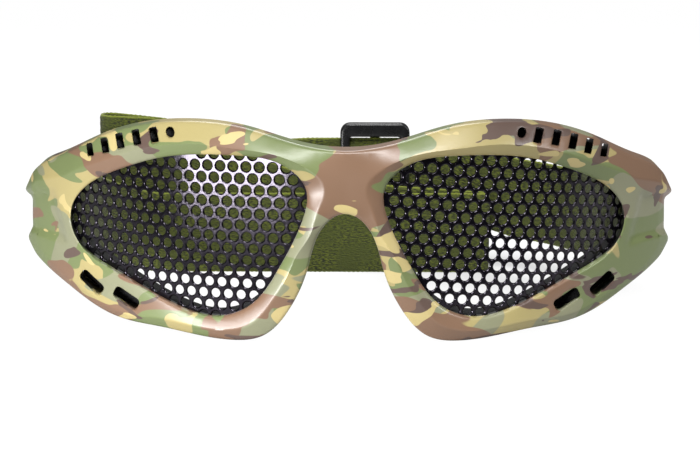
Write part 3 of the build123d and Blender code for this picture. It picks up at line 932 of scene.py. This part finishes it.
def loop_points(side, towards):
    """The sewn loop round one bar."""
    bar = Vector((side * bar_x, bar_y))
    out = (Vector(towards[:2]) - bar).normalized()
    outer = Vector((out.y, -out.x)) * side
    shape = [(STRAP_TAIL, LAYER_PITCH / 2), (STRAP_NECK, LAYER_PITCH / 2),
             (-LOOP_RADIUS, LOOP_RADIUS + LAYER_GAP), (-LOOP_RADIUS, -LOOP_RADIUS - LAYER_GAP),
             (STRAP_NECK, -LAYER_PITCH / 2), (STRAP_TAIL, -LAYER_PITCH / 2)]
    rise = bar_rise_share * HEIGHT
    return [(*(bar + out * along + outer * across), rise) for along, across in shape]


def strap_points():
    """Every corner of the strap's route."""
    route = []
    for x, y, z in strap_route_shares:
        if y is None:
            route.append((route[-1][0], route[-1][1] + FOLD_PITCH, route[-1][2]))
        else:
            route.append((x * HALF_WIDTH, bar_y + y * (far_y - bar_y), z * HEIGHT))
    return loop_points(-1, route[0]) + route + loop_points(1, route[-1])[::-1]


def strap_line():
    """Close points along the strap with its heading in plan and its lower edge."""
    corners = strap_points()
    spots, lows = [Vector(corners[0][:2])], [(0.0, corners[0][2])]
    gone = 0.0
    for before, here, after in zip(corners, corners[1:], corners[2:]):
        a, b, c = (Vector(p[:2]) for p in (before, here, after))
        into, out = (b - a), (c - b)
        turn = into.angle(out)
        tangent = min(bend_run_share * min(into.length, out.length), BEND_LIMIT * tan(turn / 2))
        radius = tangent / tan(turn / 2)
        start = b - into.normalized() * tangent
        sign = 1 if into.x * out.y - into.y * out.x > 0 else -1
        side = Vector((-into.y, into.x)).normalized() * sign
        centre = start + side * radius
        steps = max(2, ceil(turn / radians(BEND_ANGLE)))
        gone += (start - spots[-1]).length
        lows.append((gone + radius * turn / 2, here[2]))
        for k in range(steps + 1):
            angle = sign * turn * k / steps
            arm = start - centre
            spots.append(centre + Vector((arm.x * cos(angle) - arm.y * sin(angle),
                                          arm.x * sin(angle) + arm.y * cos(angle))))
        gone += radius * turn
    end = Vector(corners[-1][:2])
    gone += (end - spots[-1]).length
    spots.append(end)
    lows.append((gone, corners[-1][2]))
    plan = np.array([tuple(s) for s in spots])
    runs = np.concatenate([[0], np.cumsum(np.hypot(*np.diff(plan, axis=0).T))])
    at = np.linspace(0, runs[-1], round(runs[-1] / STRAP_STEP) + 1)
    x, y = np.interp(at, runs, plan[:, 0]), np.interp(at, runs, plan[:, 1])
    low = np.interp(at, [d for d, _ in lows], [z for _, z in lows])
    low = np.convolve(np.pad(low, RISE_EASING // 2, mode="edge"),
                      np.ones(RISE_EASING) / RISE_EASING, mode="valid")
    ahead = np.gradient(np.column_stack([x, y]), axis=0)
    ahead /= np.hypot(*ahead.T)[:, None]
    return at, x, y, low, ahead


def strap_section():
    """The band's outline: shares across its width with how far each lies off its middle."""
    section = []
    for k in range(STRAP_COLUMNS + 1):
        share = k / STRAP_COLUMNS
        rib = RIB_HEIGHT * abs(sin(share * STRAP_RIBS * pi))
        from_edge = min(k, STRAP_COLUMNS - k)
        thinned = edge_thickness_shares[from_edge] if from_edge < len(edge_thickness_shares) else 1.0
        section.append((share, (STRAP_THICKNESS / 2 - RIB_FOOT + rib) * thinned))
    return section + [(share, -side) for share, side in reversed(section)]


def build_strap(material):
    """The webbing: a ribbed band with scalloped woven edges along the route."""
    at, x, y, low, ahead = strap_line()
    section = strap_section()
    verts, faces, uvs = [], [], []
    size = len(section)
    for i in range(len(at)):
        scallop = SCALLOP_DEPTH * abs(sin(at[i] * pi / SCALLOP_PITCH))
        for share, side in section:
            tooth = scallop * (1 if share in (0, 1) else 0) * (1 if share == 0 else -1)
            z = max(low[i] + STRAP_WIDTH * share + tooth, FLOOR_GAP)
            verts.append((x[i] - ahead[i, 1] * side, y[i] + ahead[i, 0] * side, z))
            uvs.append((at[i] * MM, share * STRAP_WIDTH * MM))
    for i in range(len(at) - 1):
        for k in range(size):
            nxt = (k + 1) % size
            a, b = i * size + k, i * size + nxt
            faces.append((a, b, b + size, a + size))
    faces.append(tuple(range(size)))
    last = (len(at) - 1) * size
    faces.append(tuple(last + k for k in reversed(range(size))))
    piece = make_piece("strap_webbing", verts, faces, material, STRAP_SHARP)
    layer = piece.data.uv_layers.new(name="along")
    for loop in piece.data.loops:
        layer.data[loop.index].uv = uvs[loop.vertex_index]
    fix_normals(piece)
    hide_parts("elastic_strap")
    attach(piece, BODY)


# Stage, in metres

CAMERA_AT = (0.0075, -0.5535, 0.1265)
CAMERA_TO = (0.001, -0.0335, 0.0265)
CAMERA_LENS = 100.8
CAMERA_SENSOR = 36.0

# The camera sees this much plain white over the floor, less within the reach of the spot
# inside the strap's ring, where the floor's shadow shows most
FLOOR_WHITE = 1.12
far_white_share = 0.88
near_white_share = 0.40
SHADED_SPOT = (0.048, 0.045, 0.0)
SHADED_REACH = 0.060
FLOOR_HALF = 6.0
FLOOR_DROP = 0.0001
FLOOR_GREY = 0.56
FLOOR_ROUGHNESS = 0.9

# How bright the surround is as the camera sees it and as it lights the part
SURROUND_SEEN = 1.0
SURROUND_LIGHT = 0.10

# Each lamp's place, what it is aimed at, its width, its height and its power
LAMP_AIM = (0, 0, 0.03)
LAMPS = {
    "top": ((0.02, -0.36, 0.66), LAMP_AIM, 0.40, 0.22, 5.4),
    "key": ((0.60, -0.20, 0.42), LAMP_AIM, 0.22, 0.22, 1.8),
    "fill": ((-0.45, -0.45, 0.50), LAMP_AIM, 0.30, 0.30, 0.5),
    "back": ((-0.05, 0.45, 0.50), LAMP_AIM, 0.30, 0.30, 1.8),
    "low_card": ((-0.136, -0.197, 0.0210), (-0.028, -0.045, 0.047), 0.135, 0.024, 0.55),
}
card_diffuse_share = 0.02

# A black card low in front
FLAG_LOW = (-0.6, -0.60)
FLAG_HIGH = (0.6, -0.09)
FLAG_RISE = 0.0006
FLAG_GREY = 0.02
FLAG_ROUGHNESS = 1.0


def aimed(thing, place, target):
    """A camera or a lamp at a place, turned towards its target."""
    thing.location = place
    thing.rotation_mode = "QUATERNION"
    thing.rotation_quaternion = (Vector(target) - Vector(place)).to_track_quat("-Z", "Y")


def add_camera():
    """The camera at the photograph's viewing angle."""
    data = bpy.data.cameras.new("camera")
    data.lens = CAMERA_LENS
    data.sensor_width = CAMERA_SENSOR
    camera = bpy.data.objects.new("camera", data)
    bpy.context.scene.collection.objects.link(camera)
    aimed(camera, CAMERA_AT, CAMERA_TO)
    bpy.context.scene.camera = camera


def white_seen(tree, shader_output):
    """Paints a share of plain white over a shader where the camera sees it, less near the part."""
    path = node(tree, "LightPath")
    coords = node(tree, "TexCoord").outputs["Object"]
    away = node(tree, "VectorMath", operation="DISTANCE")
    away.inputs[1].default_value = SHADED_SPOT
    tree.links.new(coords, away.inputs[0])
    share = node(tree, "MapRange", interpolation_type="SMOOTHSTEP")
    share.inputs["From Max"].default_value = SHADED_REACH
    share.inputs["To Min"].default_value = near_white_share
    share.inputs["To Max"].default_value = far_white_share
    tree.links.new(away.outputs["Value"], share.inputs["Value"])
    scaled = node(tree, "Math", operation="MULTIPLY")
    tree.links.new(share.outputs["Result"], scaled.inputs[1])
    tree.links.new(path.outputs["Is Camera Ray"], scaled.inputs[0])
    glow = node(tree, "Emission", in_Strength=FLOOR_WHITE)
    mix = node(tree, "MixShader")
    tree.links.new(scaled.outputs[0], mix.inputs["Fac"])
    tree.links.new(shader_output, mix.inputs[1])
    tree.links.new(glow.outputs["Emission"], mix.inputs[2])
    return mix.outputs["Shader"]


def stage_plane(name, low, high, rise, grey, roughness):
    """A level plain rectangle of the stage, between two corners."""
    mesh = bpy.data.meshes.new(name)
    corners = [(low[0], low[1], 0), (high[0], low[1], 0), (high[0], high[1], 0), (low[0], high[1], 0)]
    mesh.from_pydata(corners, [], [(0, 1, 2, 3)])
    plane = bpy.data.objects.new(name, mesh)
    bpy.context.scene.collection.objects.link(plane)
    plane.location.z = rise
    material, tree, shader = new_material(name)
    shader.inputs["Base Color"].default_value = (grey, grey, grey, 1)
    shader.inputs["Roughness"].default_value = roughness
    mesh.materials.append(material)
    return plane, tree, shader


def add_floor():
    """A plain pale floor."""
    tree, shader = stage_plane("floor", (-FLOOR_HALF, -FLOOR_HALF), (FLOOR_HALF, FLOOR_HALF),
                               -FLOOR_DROP, FLOOR_GREY, FLOOR_ROUGHNESS)[1:]
    seen = white_seen(tree, shader.outputs["BSDF"])
    tree.links.new(seen, tree.nodes["Material Output"].inputs["Surface"])


def add_flag():
    """A black card low in front, out of the picture, that keeps the lenses dark."""
    flag, tree, shader = stage_plane("flag", FLAG_LOW, FLAG_HIGH, FLAG_RISE, FLAG_GREY,
                                     FLAG_ROUGHNESS)
    flag.visible_camera = False
    flag.visible_shadow = False
    shader.inputs["Specular IOR Level"].default_value = 0.0


def add_world():
    """An even white surround."""
    world = bpy.data.worlds.new("world")
    bpy.context.scene.world = world
    world.use_nodes = True
    tree = world.node_tree
    back = tree.nodes["Background"]
    back.inputs["Color"].default_value = (1, 1, 1, 1)
    seen = node(tree, "LightPath").outputs["Is Camera Ray"]
    tree.links.new(spread(tree, seen, SURROUND_LIGHT, SURROUND_SEEN), back.inputs["Strength"])


def add_lamps():
    """Soft rectangular lamps, and a card that the lenses mirror and that barely lights the rest."""
    for name, (place, target, width, tall, power) in LAMPS.items():
        data = bpy.data.lights.new(name, "AREA")
        data.shape = "RECTANGLE"
        data.size = width
        data.size_y = tall
        data.energy = power
        lamp = bpy.data.objects.new(name, data)
        bpy.context.scene.collection.objects.link(lamp)
        aimed(lamp, place, target)
    bpy.data.objects["low_card"].data.diffuse_factor = card_diffuse_share


add_camera()
add_world()
add_floor()
add_lamps()
add_flag()

printed = camouflage()
steel = coated_steel()
ring_black = speckled("ring_plastic", *RING_PLASTIC)[0]
slider_black = speckled("slider_plastic", *SLIDER_PLASTIC)[0]
screws = screw_steel()
foam = foam_material()
webbing = webbing_material()

build_frame(printed)
lens_sheet(1, LEFT_ROW_TILT, "left_mesh", "left_mesh_lens", steel)
lens_sheet(-1, RIGHT_ROW_TILT, "right_mesh", "right_mesh_lens", steel)
for node_name in ("brow_foam", "nose_foam", "left_cheek_foam", "right_cheek_foam"):
    build_foam(node_name + "_pad", node_name, foam)
build_strap(webbing)
for node_name in ("left_lens_ring", "right_lens_ring"):
    dress(node_name, ring_black)
for node_name in ("left_ring_screws", "right_ring_screws"):
    dress(node_name, screws)
build_slider(slider_black)

bpy.context.scene.view_settings.view_transform = "Standard"
